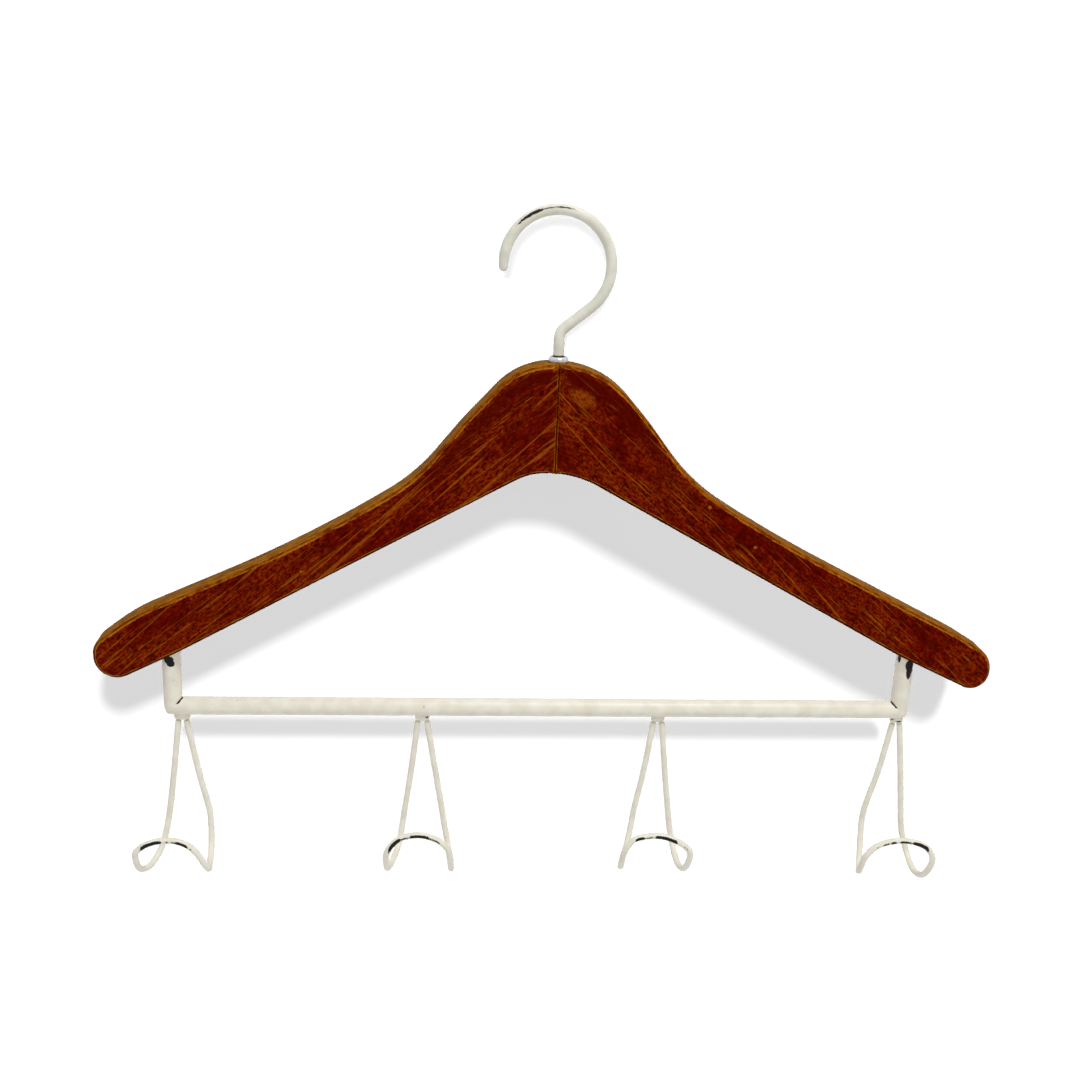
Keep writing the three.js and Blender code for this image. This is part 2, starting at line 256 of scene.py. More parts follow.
def sweep(name, path, radius, material, chip, sides, lump, ends, seed, taper=(1, 1), bore_shade_below=None):
    """A round wire along a path, a little lumpy, with its two end edges rounded by the radii in ends.

    chip(point, outward) gives how deep inside a paint chip each vertex is. taper is (length, share): the wire
    thins to that share of its radius at its start. Below the height that the last argument gives, the wire is
    marked for painted shade, as where the stem goes down into the ferrule's bore.
    """
    points = [Vector(p) for p in path]
    tangents = []
    for i in range(len(points)):
        a, b = points[max(i - 1, 0)], points[min(i + 1, len(points) - 1)]
        tangents.append((b - a).normalized())
    side = tangents[0].orthogonal().normalized()
    stations = []
    along = 0
    for i, (point, tangent) in enumerate(zip(points, tangents)):
        side = (side - tangent * side.dot(tangent)).normalized()
        if i:
            along += (point - points[i - 1]).length
        stations.append((point, tangent, side, along, 1.0))

    def rounding(station, edge, direction, steps=5):
        point, tangent, across, run, _ = station
        made = []
        for k in range(1, steps + 1):
            turn = k / steps * math.pi / 2
            out = point + tangent * direction * edge * (math.sin(turn) - 1)
            made.append((out, tangent, across, run, 1 - edge / radius * (1 - math.cos(turn))))
        return made

    first, last = stations[0], stations[-1]
    trim = max(ends)
    body = [station for station in stations if trim < station[3] < along - trim]
    stations = rounding(first, ends[0], -1)[::-1] + body + rounding(last, ends[1], 1)

    verts, chips, bore_shade_marks, rings = [], [], [], []
    for point, tangent, across, _, shrink in stations:
        shrink *= 1 - (1 - taper[1]) * max(0, 1 - (point - points[0]).length / taper[0])
        up = tangent.cross(across)
        ring = []
        for k in range(sides):
            turn = 2 * math.pi * k / sides
            outward = across * math.cos(turn) + up * math.sin(turn)
            place = point + outward * radius * shrink
            place -= outward * lump * (1 + wobble(place, 3.2, seed)) * 0.5
            ring.append(len(verts))
            verts.append(place)
            chips.append(chip(place, outward))
            bore_shade_marks.append(float(bore_shade_below is not None and place.z < bore_shade_below))
        rings.append(ring)
    faces = loft(rings)
    for ring, (point, *_), flip in ((rings[0], stations[0], True), (rings[-1], stations[-1], False)):
        pole = len(verts)
        verts.append(point)
        chips.append(chips[ring[0]])
        bore_shade_marks.append(bore_shade_marks[ring[0]])
        faces += [
            (ring[(k + 1) % sides], ring[k], pole) if flip else (ring[k], ring[(k + 1) % sides], pole)
            for k in range(sides)
        ]
    return make_object(name, verts, faces, {"chip": chips, "bore_shade": bore_shade_marks}, material)


def turned(name, profile, material, sides, centre, attributes):
    """A turned piece about Z from a closed profile of (radius, height)."""
    verts, rings = [], []
    for radius, height in profile:
        ring = []
        for k in range(sides):
            turn = 2 * math.pi * k / sides
            ring.append(len(verts))
            place = Vector((radius * math.cos(turn), radius * math.sin(turn), height))
            verts.append(place + Vector(centre))
        rings.append(ring)
    rings.append(rings[0])
    return make_object(name, verts, loft(rings), attributes, material)


# ------------------------------------------------------------------ material helpers
class Nodes:
    """Short calls for building one material's node tree."""

    def __init__(self, name):
        self.material = bpy.data.materials.new(name)
        self.material.use_nodes = True
        self.tree = self.material.node_tree
        self.shader = self.tree.nodes["Principled BSDF"]

    def add(self, kind, inputs=(), out=0, **settings):
        node = self.tree.nodes.new(kind)
        for key, value in settings.items():
            setattr(node, key, value)
        for key, value in dict(inputs).items():
            self.plug(node.inputs[key], value)
        return node.outputs[out]

    def plug(self, socket, value):
        if isinstance(value, bpy.types.NodeSocket):
            self.tree.links.new(value, socket)
        else:
            socket.default_value = value

    def set(self, key, value):
        self.plug(self.shader.inputs[key], value)

    def math(self, operation, a, b=0.0, c=0.0):
        node = self.tree.nodes.new("ShaderNodeMath")
        node.operation = operation
        for socket, value in zip(node.inputs, (a, b, c)):
            self.plug(socket, value)
        return node.outputs[0]

    def step(self, value, low, high, start=0.0, end=1.0):
        """A smooth ramp of value from start at low to end at high."""
        return self.add(
            "ShaderNodeMapRange",
            {0: value, 1: low, 2: high, 3: start, 4: end},
            interpolation_type="SMOOTHSTEP",
        )

    def mix(self, fac, a, b):
        node = self.tree.nodes.new("ShaderNodeMix")
        node.data_type = "RGBA"
        self.plug(node.inputs[0], fac)
        self.plug(node.inputs[6], a)
        self.plug(node.inputs[7], b)
        return node.outputs[2]

    def attribute(self, name):
        return self.add("ShaderNodeAttribute", out=2, attribute_name=name)

    def place(self):
        """The point on the object, in millimetres, in the object's own frame."""
        point = self.add("ShaderNodeTexCoord", out=3)
        return self.add("ShaderNodeVectorMath", {0: point, 3: 1 / MM}, operation="SCALE")

    def turned_place(self, place, angle, stretch):
        """The place turned about Y by angle degrees, then stretched by a factor on each axis."""
        inputs = {"Vector": place, "Angle": angle * DEG}
        spun = self.add("ShaderNodeVectorRotate", inputs, rotation_type="Y_AXIS")
        return self.add("ShaderNodeVectorMath", {0: spun, 1: stretch}, operation="MULTIPLY")

    def noise(self, place, scale, detail, rough, offset=0.0):
        """Noise from about 0 to 1, with lumps about 1 / scale millimetres across."""
        if offset:
            shift = (offset, offset * 0.7, -offset)
            place = self.add("ShaderNodeVectorMath", {0: place, 1: shift}, operation="ADD")
        inputs = {"Vector": place, "Scale": scale, "Detail": detail, "Roughness": rough}
        return self.add("ShaderNodeTexNoise", inputs)

    def bump(self, height, distance, strength):
        inputs = {"Height": height, "Distance": distance * MM, "Strength": strength}
        return self.add("ShaderNodeBump", inputs)


def srgb(r, g, b):
    """Display colour, 0 to 255, as the linear colour that a shader takes."""

    def linear(c):
        c /= 255
        return c / 12.92 if c <= 0.04045 else ((c + 0.055) / 1.055) ** 2.4

    return linear(r), linear(g), linear(b), 1


# ------------------------------------------------------------------ materials
RUB_CENTRE = (11.6, -8.0, -81.6)


def stained_wood(name, grain_angle, side):
    """Worn dark red stain over ochre wood.

    grain_angle is the streaks' rise on the front, in degrees. The rim attribute is the distance inwards from
    the face's arris, negative on the chamfer and the wall, and up is how far an edge looks upwards.
    """
    n = Nodes(name)
    place = n.place()
    axes = n.add("ShaderNodeSeparateXYZ", {0: place}).node.outputs
    rim = n.attribute("rim")
    upness = n.attribute("up")

    along = n.turned_place(place, grain_angle, (0.55, 0.8, 1.0))
    streak = n.turned_place(place, grain_angle, (0.024, 0.3, 1.0))
    streak_two = n.turned_place(place, grain_angle * 1.14, (0.024, 0.3, 1.0))

    # The stain: broad clouds, then mottling a few millimetres across, then a sandy speckle.
    clouds = n.noise(along, 0.045, 3.0, 0.55, offset=11 * side)
    mottle = n.noise(along, 0.36, 4.0, 0.68, offset=31 * side)
    sand = n.noise(along, 0.85, 3.0, 0.7, offset=53 * side)
    specks = n.noise(along, 1.7, 3.0, 0.75)
    patch = n.step(n.math("MULTIPLY_ADD", clouds, 0.62, n.math("MULTIPLY", mottle, 0.5)), 0.47, 0.68)
    grainy = n.step(sand, 0.42, 0.6)
    red = n.mix(n.step(mottle, 0.34, 0.62), srgb(64, 0, 0), srgb(92, 3, 0))
    speckle = n.math("MULTIPLY", grainy, n.math("MULTIPLY_ADD", patch, 0.72, 0.14))
    stain = n.mix(speckle, red, srgb(136, 48, 2))

    # Long fine scratches that run across the arm, broken along their length.
    breaks = n.noise(along, 0.12, 3.0, 0.6, offset=7)
    lines = n.noise(streak, 1.15, 2.0, 0.6, offset=17 * side)
    bands = n.noise(streak, 0.24, 2.0, 0.5, offset=61 * side)
    long_lines = n.noise(streak_two, 0.5, 2.0, 0.5, offset=41 * side)
    scratch = n.math("MULTIPLY", n.step(lines, 0.57, 0.63), n.step(bands, 0.42, 0.54))
    scratch = n.math("MULTIPLY", scratch, n.step(breaks, 0.38, 0.5))
    scratch = n.math("MAXIMUM", scratch, n.math("MULTIPLY", n.step(long_lines, 0.635, 0.665), 0.9))
    scratch = n.math("MULTIPLY", scratch, n.step(sand, 0.3, 0.5, 0.4, 1.0))
    stain = n.mix(n.math("MULTIPLY", scratch, 0.62), stain, srgb(162, 84, 8))
    dark_lines = n.noise(streak, 0.9, 2.0, 0.5, offset=83)
    stain = n.mix(n.math("MULTIPLY", n.step(dark_lines, 0.6, 0.7), 0.35), stain, srgb(60, 2, 0))

    # Darker stain left under the shoulders of the crown.
    near_crown = n.step(n.math("ABSOLUTE", axes[0]), 78, 40)
    under_rim = n.math("MULTIPLY", n.step(rim, 0.8, 2.2), n.step(rim, 9.5, 4.5))
    crown_shade = n.math("MULTIPLY", n.math("MULTIPLY", near_crown, under_rim), n.step(upness, 0.1, 0.5))
    stain = n.mix(n.math("MULTIPLY", crown_shade, 0.7), stain, srgb(74, 5, 0))

    # A pale oval rub on the right arm, beside the mitre.
    from_rub = n.add("ShaderNodeVectorMath", {0: place, 1: RUB_CENTRE}, operation="SUBTRACT")
    rub_reach = n.turned_place(from_rub, -32, (0.14, 0.4, 0.26))
    rub = n.add("ShaderNodeVectorMath", {0: rub_reach}, out=1, operation="LENGTH")
    rub = n.step(n.math("MULTIPLY_ADD", mottle, 1.2, rub), 1.75, 1.2)
    rub = n.math("MULTIPLY", rub, n.step(sand, 0.36, 0.56, 0.15, 0.7))
    stain = n.mix(rub, stain, srgb(146, 68, 10))

    # Small dents where the stain has gone.
    cells = n.add("ShaderNodeTexVoronoi", {"Vector": place, "Scale": 0.075, "Randomness": 1.0})
    dents = n.math("ADD", cells, n.math("MULTIPLY_ADD", specks, 0.16, -0.08))
    stain = n.mix(n.math("MULTIPLY", n.step(dents, 0.075, 0.04), 0.7), stain, srgb(170, 104, 20))

    # The walls of the arms that face up are golden brown with lines along the arm, darker towards the back:
    # partly wear and partly painted light from above.
    lengthwise = n.add("ShaderNodeVectorMath", {0: place, 1: (0.05, 1.1, 0.05)}, operation="MULTIPLY")
    wall_lines = n.noise(lengthwise, 1.0, 4.0, 0.65)
    brown_tone = n.math("MULTIPLY_ADD", mottle, 0.45, n.math("MULTIPLY", wall_lines, 0.55))
    brown = n.mix(n.step(brown_tone, 0.36, 0.66), srgb(100, 50, 1), srgb(162, 112, 20))
    brown = n.mix(n.step(axes[1], 3.5, 8.0, 0.0, 0.8), brown, srgb(70, 34, 2))
    wall = n.math("MULTIPLY", n.step(rim, -2.0, -2.7), n.step(upness, -0.15, 0.4))
    stain = n.mix(n.math("MULTIPLY", wall, 0.92), stain, brown)
    # The chamfers that face up are lighter: partly wear, partly painted light from above.
    chamfer = n.math("MULTIPLY", n.step(rim, -2.3, -1.9), n.step(rim, -0.1, -0.5))
    worn_lit_top_chamfer = n.math("MULTIPLY", chamfer, n.step(upness, 0.0, 0.5))
    seam = n.step(n.math("ABSOLUTE", axes[0]), 3.4, 2.6)
    # The chamfers that face down are darkened as painted shade, except at the mitre.
    shaded_under_chamfer = n.math("MULTIPLY", chamfer, n.step(upness, 0.1, -0.4))
    shaded_under_chamfer = n.math("MULTIPLY", shaded_under_chamfer, n.math("SUBTRACT", 1.0, seam))
    chamfer_tone = n.mix(n.step(mottle, 0.4, 0.6), srgb(108, 44, 2), srgb(146, 82, 14))
    stain = n.mix(n.math("MULTIPLY", worn_lit_top_chamfer, 0.8), stain, chamfer_tone)
    stain = n.mix(n.math("MULTIPLY", shaded_under_chamfer, 0.8), stain, srgb(58, 4, 0))

    # Bare ochre wood along the arrises, broken and of uneven width.
    ragged = n.math("MULTIPLY_ADD", n.noise(place, 0.5, 4.0, 0.7), 1.4, -0.7)
    patchy = n.noise(place, 0.11, 3.0, 0.65, offset=5)
    bare = n.step(patchy, 0.36, 0.6)
    width = n.math("MULTIPLY_ADD", bare, 0.52, 0.06)
    width = n.math("MULTIPLY", width, n.step(upness, -0.3, 0.6, 0.6, 1.0))
    width = n.math("MULTIPLY", width, n.math("MULTIPLY_ADD", seam, 0.5, 1.0))
    # At the mitre the bare lines run nearer the joint, down in its groove.
    arris = n.math("MULTIPLY_ADD", seam, 0.3, rim)
    inner = n.math("ABSOLUTE", n.math("ADD", arris, n.math("MULTIPLY", ragged, 0.7)))
    outer = n.math("ABSOLUTE", n.math("ADD", n.math("ADD", rim, 2.1), n.math("MULTIPLY", ragged, 0.6)))
    worn = n.math("SUBTRACT", 1.0, n.math("DIVIDE", inner, width))
    worn_outer = n.math("SUBTRACT", 0.9, n.math("DIVIDE", outer, width))
    worn = n.math("MAXIMUM", worn, n.math("MULTIPLY", worn_outer, n.step(upness, -0.1, 0.3)))
    worn = n.step(worn, 0.0, 0.6)
    ochre = n.mix(n.step(specks, 0.35, 0.65), srgb(148, 84, 8), srgb(184, 122, 26))
    n.set("Base Color", n.mix(n.math("MULTIPLY", worn, 0.85), stain, ochre))

    grain = n.noise(n.turned_place(place, grain_angle, (0.08, 0.6, 1.0)), 1.6, 4.0, 0.65)
    rough = n.math("MULTIPLY_ADD", mottle, 0.24, 0.36)
    n.set("Roughness", n.math("ADD", rough, n.math("MULTIPLY", worn, 0.14)))
    n.set("IOR", 1.04)
    n.set("Specular IOR Level", 0.5)
    height = n.math("MULTIPLY_ADD", grain, 0.5, n.math("MULTIPLY", specks, 0.3))
    height = n.math("SUBTRACT", height, n.math("MULTIPLY", scratch, 0.35))
    height = n.math("SUBTRACT", height, n.math("MULTIPLY", worn, 0.3))
    n.set("Normal", n.bump(height, 0.2, 0.6))
    return n.material


def cream_paint(name, low, high):
    """Thick cream enamel over dark steel, chipped where the chip attribute is positive."""
    n = Nodes(name)
    place = n.place()
    lumps = n.noise(place, 0.16, 3.0, 0.5)
    fine = n.noise(place, 1.4, 4.0, 0.65)
    stains = n.noise(place, 0.07, 3.0, 0.6, offset=9)
    cream = n.mix(n.step(lumps, 0.35, 0.65), low, high)
    cream = n.mix(n.math("MULTIPLY", n.step(stains, 0.54, 0.74), 0.35), cream, srgb(218, 208, 184))
    cream = n.mix(n.math("MULTIPLY", n.step(fine, 0.52, 0.76), 0.15), cream, srgb(208, 201, 180))

    # Stray specks of rust, few and small.
    cells = n.add("ShaderNodeTexVoronoi", {"Vector": place, "Scale": 0.09, "Randomness": 1.0})
    speck = n.step(n.math("ADD", cells, n.math("MULTIPLY_ADD", fine, 0.2, -0.1)), 0.045, 0.025)
    cream = n.mix(n.math("MULTIPLY", speck, 0.4), cream, srgb(120, 84, 60))

    # The open slit at the inside of each mitre, on the front.
    axes = n.add("ShaderNodeSeparateXYZ", {0: place}).node.outputs
    inward = n.math("SUBTRACT", CORNER_X, n.math("ABSOLUTE", axes[0]))
    upward = n.math("SUBTRACT", axes[2], RAIL_Z)
    off_mitre = n.math("MULTIPLY", n.math("ABSOLUTE", n.math("SUBTRACT", inward, upward)), math.sqrt(0.5))
    inner_corner = n.math("MULTIPLY", n.step(upward, 1.9, 2.4), n.step(axes[1], 0.3, -0.3))
    inner_corner = n.math("MULTIPLY", inner_corner, n.step(upward, 8.0, 7.0))
    slit = n.math("MULTIPLY_ADD", inner_corner, 2.0, n.math("MULTIPLY_ADD", off_mitre, -1.0, -1.6))

    depth = n.math("MAXIMUM", n.attribute("chip"), slit)
    ragged = n.noise(place, 1.4, 4.0, 0.72)
    depth = n.math("ADD", depth, n.math("MULTIPLY_ADD", ragged, 1.5, -0.75))
    chip = n.step(depth, 0.0, 0.07)
    edge = n.step(depth, -0.12, 0.02)
    cream = n.mix(n.math("MULTIPLY", edge, 0.6), cream, srgb(112, 60, 42))
    # Painted shade where the piece marks it: the stem down in the ferrule's bore
    cream = n.mix(n.attribute("bore_shade"), cream, srgb(40, 36, 32))
    n.set("Base Color", n.mix(chip, cream, srgb(9, 7, 6)))
    n.set("Roughness", n.math("MULTIPLY_ADD", chip, 0.3, n.math("MULTIPLY_ADD", fine, 0.16, 0.3)))
    n.set("Specular IOR Level", 0.3)
    height = n.math("MULTIPLY_ADD", fine, 0.25, lumps)
    height = n.math("SUBTRACT", height, n.math("MULTIPLY", chip, 0.55))
    n.set("Normal", n.bump(height, 0.16, 0.55))
    return n.material


def metal(name, light, dark, roughness, scale):
    """Bright or plain metal with fine wear and tarnish."""
    n = Nodes(name)
    place = n.place()
    tarnish = n.noise(place, scale, 4.0, 0.6)
    brushed = n.noise(n.turned_place(place, 0, (1.0, 1.0, 9.0)), scale * 1.6, 3.0, 0.6)
    colour = n.mix(n.step(tarnish, 0.4, 0.68), light, dark)
    # Painted shade where the piece marks it: the ferrule's bore round the stem
    n.set("Base Color", n.mix(n.attribute("bore_shade"), colour, srgb(26, 22, 18)))
    n.set("Metallic", 1.0)
    n.set("Roughness", n.math("MULTIPLY_ADD", brushed, 0.25, roughness))
    n.set("Normal", n.bump(n.math("MULTIPLY_ADD", tarnish, 0.5, brushed), 0.05, 0.5))
    return n.material


def beech():
    """Plain pale wood with its grain along the dowel."""
    n = Nodes("beech_dowel")
    place = n.place()
    grain = n.noise(n.turned_place(place, 0, (0.12, 1.0, 1.0)), 2.2, 4.0, 0.6)
    pores = n.noise(place, 3.0, 3.0, 0.7)
    colour = n.mix(n.step(grain, 0.35, 0.65), srgb(196, 152, 104), srgb(222, 184, 138))
    n.set("Base Color", n.mix(n.step(pores, 0.62, 0.72), colour, srgb(150, 104, 66)))
    n.set("Roughness", n.math("MULTIPLY_ADD", grain, 0.2, 0.55))
    n.set("Normal", n.bump(grain, 0.1, 0.5))
    return n.material


def stage_material(name, colour, see_through_back=False):
    """A matt plain colour, clear from behind if asked, so that a view from there sees the object."""
    n = Nodes(name)
    n.set("Base Color", colour)
    n.set("Roughness", 0.9)
    n.set("Specular IOR Level", 0.1)
    if see_through_back:
        output = n.tree.nodes["Material Output"]
        clear = n.add("ShaderNodeBsdfTransparent")
        back = n.add("ShaderNodeNewGeometry", out="Backfacing")
        mixed = n.add("ShaderNodeMixShader", {0: back, 1: n.shader.outputs[0], 2: clear})
        n.plug(output.inputs["Surface"], mixed)
    return n.material


PAINT = cream_paint("cream_paint", srgb(224, 219, 202), srgb(233, 229, 214))
# A darker, greyer copy of the cream paint for the top hook: partly its own greyer tone, partly painted shade
HOOK_PAINT_WITH_SHADE = cream_paint("cream_paint_hook_with_shade", srgb(210, 209, 194), srgb(222, 221, 207))
ZINC = metal("zinc_ferrule", srgb(246, 246, 248), srgb(206, 206, 212), 0.2, 0.5)
STEEL = metal("bare_steel", srgb(150, 148, 144), srgb(96, 90, 84), 0.32, 0.7)
BEECH = beech()


# ------------------------------------------------------------------ wooden arms
def arm_corners(name):
    """An arm's closed outline, from the top of its mitre round to there again."""
    top, foot = (MITRE_GAP / 2, 0, 0), (MITRE_GAP / 2, -CROWN_HEIGHT, 0)
    return (top, *ARM_CORNERS[name], foot, top)


def face_mesh(outline, spacing=2.6):
    """Triangles that fill a flat outline, the grid points used inside it, and each one's distance inwards."""
    count = len(outline)
    loop = np.array([tuple(p) for p in outline])
    after = np.roll(loop, -1, axis=0) - loop
    low, high = loop.min(axis=0), loop.max(axis=0)
    columns = np.arange(low[0], high[0], spacing)
    grid = []
    for i, x in enumerate(columns):
        grid += [(x, z) for z in np.arange(low[1] + i % 2 * spacing / 2, high[1], spacing)]
    inside = []
    depths = []
    for point in np.array(grid):
        share = np.clip(((point - loop) * after).sum(axis=1) / (after**2).sum(axis=1), 0, 1)
        depth = np.linalg.norm(loop + after * share[:, None] - point, axis=1).min()
        crossing = (loop[:, 1] > point[1]) != (loop[:, 1] + after[:, 1] > point[1])
        with np.errstate(divide="ignore", invalid="ignore"):
            meet = loop[:, 0] + (point[1] - loop[:, 1]) / after[:, 1] * after[:, 0]
        if (crossing & (meet > point[0])).sum() % 2 and depth > spacing * 0.45:
            inside.append(Vector(point))
            depths.append(depth)
    edges = [(i, (i + 1) % count) for i in range(count)]
    found = geometry.delaunay_2d_cdt(list(outline) + inside, edges, [], 1, 1e-6)
    points, _, triangles, origins = found[:4]
    sources = [o[0] for o in origins]
    return [tuple(sources[k] for k in t) for t in triangles], inside, depths


def make_arm(node, side, material, grain_seed):
    """One arm as a closed skin: two faces, a rounded chamfer round each, and the wall between them."""
    corners = arm_corners(node)
    mitre = [Vector(corners[0][:2]), Vector(corners[-2][:2])]
    outline = []
    for point in evenly(rounded_path(corners, 0.8), 1.1)[:-1]:
        from_mitre = min((point - m).length for m in mitre)
        if from_mitre < 0.01 or from_mitre > 1.95:
            outline.append(point)
    count = len(outline)
    normals = []
    for i in range(count):
        before = (outline[i] - outline[i - 1]).normalized()
        after = (outline[(i + 1) % count] - outline[i]).normalized()
        across = (before + after).normalized()
        # The outline runs clockwise, so its outside is on its left.
        normals.append(Vector((-across.y, across.x)) / max(0.5, across.dot(after)))
    half = WOOD_THICKNESS / 2
    c = CHAMFER
    slope = c * math.sqrt(2)
    # From the middle of the wall to the edge of a face: (inset, depth below the face, rim)
    profile = (
        (0, half, -slope - 6.5),
        (0, 4.6, -slope - 3.1),
        (0, 2.6, -slope - 1.1),
        (0, c + 0.42, -slope - 0.42),
        (0.05, c + 0.12, -slope - 0.12),
        (0.24, c - 0.24, -slope + 0.34),
        (0.75, 0.75, -slope / 2),
        (c - 0.24, 0.24, -0.34),
        (c - 0.06, 0.08, -0.12),
        (c + 0.16, 0, 0.12),
    )
    verts, rims, ups, rings = [], [], [], []

    def ring(inset, depth, rim, face):
        made = []
        for i in range(count):
            point = outline[i]
            sway = wobble((point.x, point.y, 3 * face), 14, grain_seed) * 0.22
            sway += wobble((point.x, point.y, 3 * face), 4, grain_seed + 1) * 0.08
            # Hand wear makes the chamfer a little wider or narrower from place to place.
            extra = max(0, 1 - abs(rim) / 1.2) * (sway - 0.14)
            share = MITRE_CHAMFER_SHARE if point.x < MITRE_GAP else 1
            spot = point - normals[i] * max(0, inset + extra) * share
            made.append(len(verts))
            deep = depth * share if depth < c + 0.5 else depth
            verts.append((side * spot.x, face * (half - deep), spot.y + CROWN_Z))
            rims.append(rim)
            ups.append(normals[i].normalized().y)
        return made

    for inset, depth, rim in profile[::-1]:
        rings.append(ring(inset, depth, rim, -1))
    for inset, depth, rim in profile[1:]:
        rings.append(ring(inset, depth, rim, 1))
    faces = loft(rings)
    for edge, face in ((rings[0], -1), (rings[-1], 1)):
        flat = [Vector((side * verts[v][0], verts[v][2] - CROWN_Z)) for v in edge]
        triangles, inside, depths = face_mesh(flat)
        base = len(verts)
        for point, depth in zip(inside, depths):
            verts.append((side * point.x, face * half, point.y + CROWN_Z))
            rims.append(depth)
            ups.append(0)
        # The inner points take the rise of the nearest edge, so the shader knows which edge they are near.
        for offset, point in enumerate(inside):
            nearest = min(range(count), key=lambda k: (flat[k] - point).length_squared)
            ups[base + offset] = ups[edge[nearest]]
        for triangle in triangles:
            faces.append(tuple(edge[k] if k < count else base + k - count for k in triangle))
    arm = make_object(f"{node}_skin", verts, faces, {"rim": rims, "up": ups}, material)
    face_outwards(arm)
    return arm


def solid_rod(bm, radius, start, end, end_radius=None):
    """Adds a closed round bar between two millimetre points to bm."""
    start, end = Vector(start), Vector(end)
    axis = end - start
    turn = axis.to_track_quat("Z", "Y").to_matrix().to_4x4()
    bmesh.ops.create_cone(
        bm,
        cap_ends=True,
        segments=40,
        radius1=radius * MM,
        radius2=(end_radius if end_radius is not None else radius) * MM,
        depth=axis.length * MM,
        matrix=Matrix.Translation((start + end) / 2 * MM) @ turn,
    )


def bore(obj, rods):
    """Cuts round bars out of obj for good."""
    for settings in rods:
        bm = bmesh.new()
        solid_rod(bm, **settings)
        mesh = bpy.data.meshes.new("cutter")
        bm.to_mesh(mesh)
        bm.free()
        cutter = bpy.data.objects.new("cutter", mesh)
        bpy.context.scene.collection.objects.link(cutter)
        cut = obj.modifiers.new("bore", "BOOLEAN")
        cut.operation = "DIFFERENCE"
        cut.solver = "EXACT"
        cut.object = cutter
        bpy.context.view_layer.update()
        shaped = bpy.data.meshes.new_from_object(obj.evaluated_get(bpy.context.evaluated_depsgraph_get()))
        obj.modifiers.clear()
        old = obj.data
        obj.data = shaped
        bpy.data.meshes.remove(old)
        bpy.data.objects.remove(cutter)
        bpy.data.meshes.remove(mesh)
    obj.data.shade_smooth()
    obj.data.set_sharp_from_angle(angle=38 * DEG)


arms = []
for arm_name, arm_side, streaks in (("arm_left", -1, 38), ("arm_right", 1, -41)):
    stain = stained_wood(f"stained_{arm_name}", streaks, arm_side)
    arm = make_arm(arm_name, arm_side, stain, 2 + arm_side)
    hand = arm_name.removeprefix("arm_")
    low, high = cad_mm(f"post_{hand}")
    middle = (low.x + high.x) / 2
    screw_low, screw_high = cad_mm(f"post_screw_{hand}")
    screw_z = (screw_low.z + screw_high.z) / 2
    head = (screw_high.z - screw_low.z) / 2
    pocket_radius, pocket_top, pocket_foot = NUT_POCKET
    dowel_rods = []
    for dowel in ("crown_dowel_upper", "crown_dowel_lower"):
        dowel_low, dowel_high = cad_mm(dowel)
        dowel_z = (dowel_low.z + dowel_high.z) / 2
        dowel_rods.append(
            {
                "radius": (dowel_high.z - dowel_low.z) / 2 + GAP,
                "start": (-DOWEL_REACH - GAP, 0, dowel_z),
                "end": (DOWEL_REACH + GAP, 0, dowel_z),
            }
        )
    bore(
        arm,
        (
            {"radius": TUBE / 2 + GAP, "start": (middle, 0, RAIL_Z), "end": (middle, 0, high.z + GAP)},
            {
                "radius": head + SEAT_CLEARANCE,
                "start": (middle, WOOD_THICKNESS / 2 + 0.5, screw_z),
                "end": (middle, WOOD_THICKNESS / 2 - SEAT_DEPTH, screw_z),
                "end_radius": head * SEAT_FOOT_SHARE,
            },
            {"radius": FERRULE_HOLE, "start": (0, 0, CROWN_Z + 3), "end": (0, 0, CROWN_Z + pocket_top)},
            {
                "radius": pocket_radius,
                "start": (0, 0, CROWN_Z + pocket_top + 0.02),
                "end": (0, 0, CROWN_Z + pocket_foot),
            },
            *dowel_rods,
        ),
    )
    arms.append(finish_piece(arm, "rack", "stained_wood", arm_name))


# ------------------------------------------------------------------ top hook
def top_hook_path():
    """The top hook's middle line, from its tip round the loop and down to the foot of the stem."""
    loop_z = HOOK_WIRE / 2 - LOOP_RADIUS
    points = []
    steps = 240
    for k in range(steps + 1):
        turn = (TIP_ANGLE + (-NECK_ANGLE - TIP_ANGLE) * k / steps) * DEG
        points.append((LOOP_OFFSET + LOOP_RADIUS * math.cos(turn), loop_z + LOOP_RADIUS * math.sin(turn)))
    neck = NECK_ANGLE * DEG
    leave_x, leave_z = points[-1]
    meet_z = leave_z - leave_x / math.tan(neck)
    stem_end = cad_mm("swivel_hook")[0].z
    rest = rounded_path(((leave_x, leave_z, 0), (0, meet_z, NECK_BEND), (0, stem_end, 0)), 0.4)
    line = evenly([Vector(p) for p in points] + rest[1:], 0.6)
    return [Vector((p.x, 0, p.y)) for p in line]


# Paint worn off the loop: (angle round the loop, half length, half width, how solid)
RING_CHIPS = ((120, 5.6, 0.62, 0.16), (101, 5.5, 0.45, -0.16), (87, 6.5, 0.5, -0.12), (132, 3.0, 0.5, -0.1))


def ring_chip(place, outward):
    loop = Vector((LOOP_OFFSET, 0, HOOK_WIRE / 2 - LOOP_RADIUS))
    angle = math.degrees(math.atan2(place.z - loop.z, place.x - loop.x)) % 360
    if place.z < loop.z - 5:
        return -9
    radial = Vector((math.cos(angle * DEG), 0, math.sin(angle * DEG)))
    worn = (Vector((0, -0.88, 0)) + radial * 0.47).normalized()
    off = HOOK_WIRE / 2 * math.acos(max(-1, min(1, outward.dot(worn))))
    best = -9
    for centre, length, width, solid in RING_CHIPS:
        reach = LOOP_RADIUS * (angle - centre) * DEG
        best = max(best, (1 - math.hypot(reach / length, off / width)) * width + solid)
    return best


